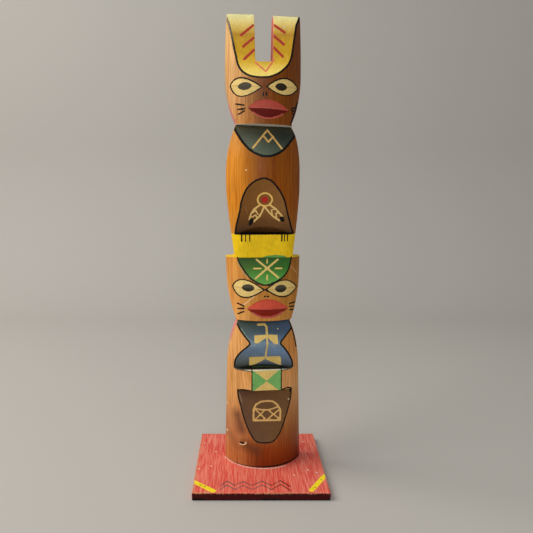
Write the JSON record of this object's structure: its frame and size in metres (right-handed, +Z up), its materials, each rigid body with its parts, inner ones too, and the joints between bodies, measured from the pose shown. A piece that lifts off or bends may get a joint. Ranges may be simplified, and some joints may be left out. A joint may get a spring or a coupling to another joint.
{
  "type": "souvenir totem pole",
  "caption": "Small carved and painted wooden totem pole with two stacked figures, standing on a square painted board.",
  "frame": {"origin": "centre of the board's underside, on the surface that the object stands on", "axes": "+Z up along the pole; the carved front faces -Y; +X is on the right as one looks at the front"},
  "size_m": [0.1016, 0.1016, 0.358],
  "materials": {
    "carved_wood": "varnished softwood, with matt and glossy enamel in the carved areas",
    "painted_board": "worn brushed red paint"
  },
  "bodies": {
    "root": {"totem_pole": "carved_wood", "base_board": "painted_board"}
  },
  "joints": []
}
